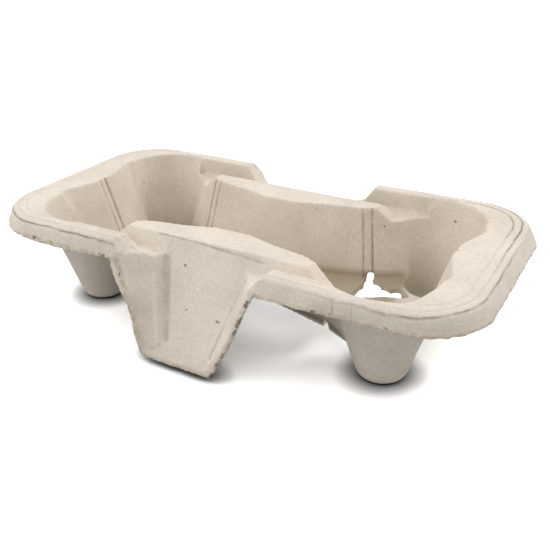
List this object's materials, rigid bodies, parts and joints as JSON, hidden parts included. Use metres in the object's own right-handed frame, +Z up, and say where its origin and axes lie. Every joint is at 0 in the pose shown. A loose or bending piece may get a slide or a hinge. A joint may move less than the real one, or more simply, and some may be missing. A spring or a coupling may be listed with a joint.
{
  "type": "drink carrier tray",
  "caption": "Moulded pulp carrier tray with joined cup cells, a rolled rim, corner feet and a leaning leg on each long side.",
  "frame": {"origin": "centre of the tray's footprint, on the surface it stands on", "axes": "+X along the tray from cell to cell, +Y across it, +Z up; the tray is symmetric about X = 0 and Y = 0"},
  "size_m": [0.2154, 0.1248, 0.0438],
  "materials": {
    "pulp": "matt fibrous"
  },
  "bodies": {
    "root": {"carrier_tray": "pulp"}
  },
  "joints": []
}
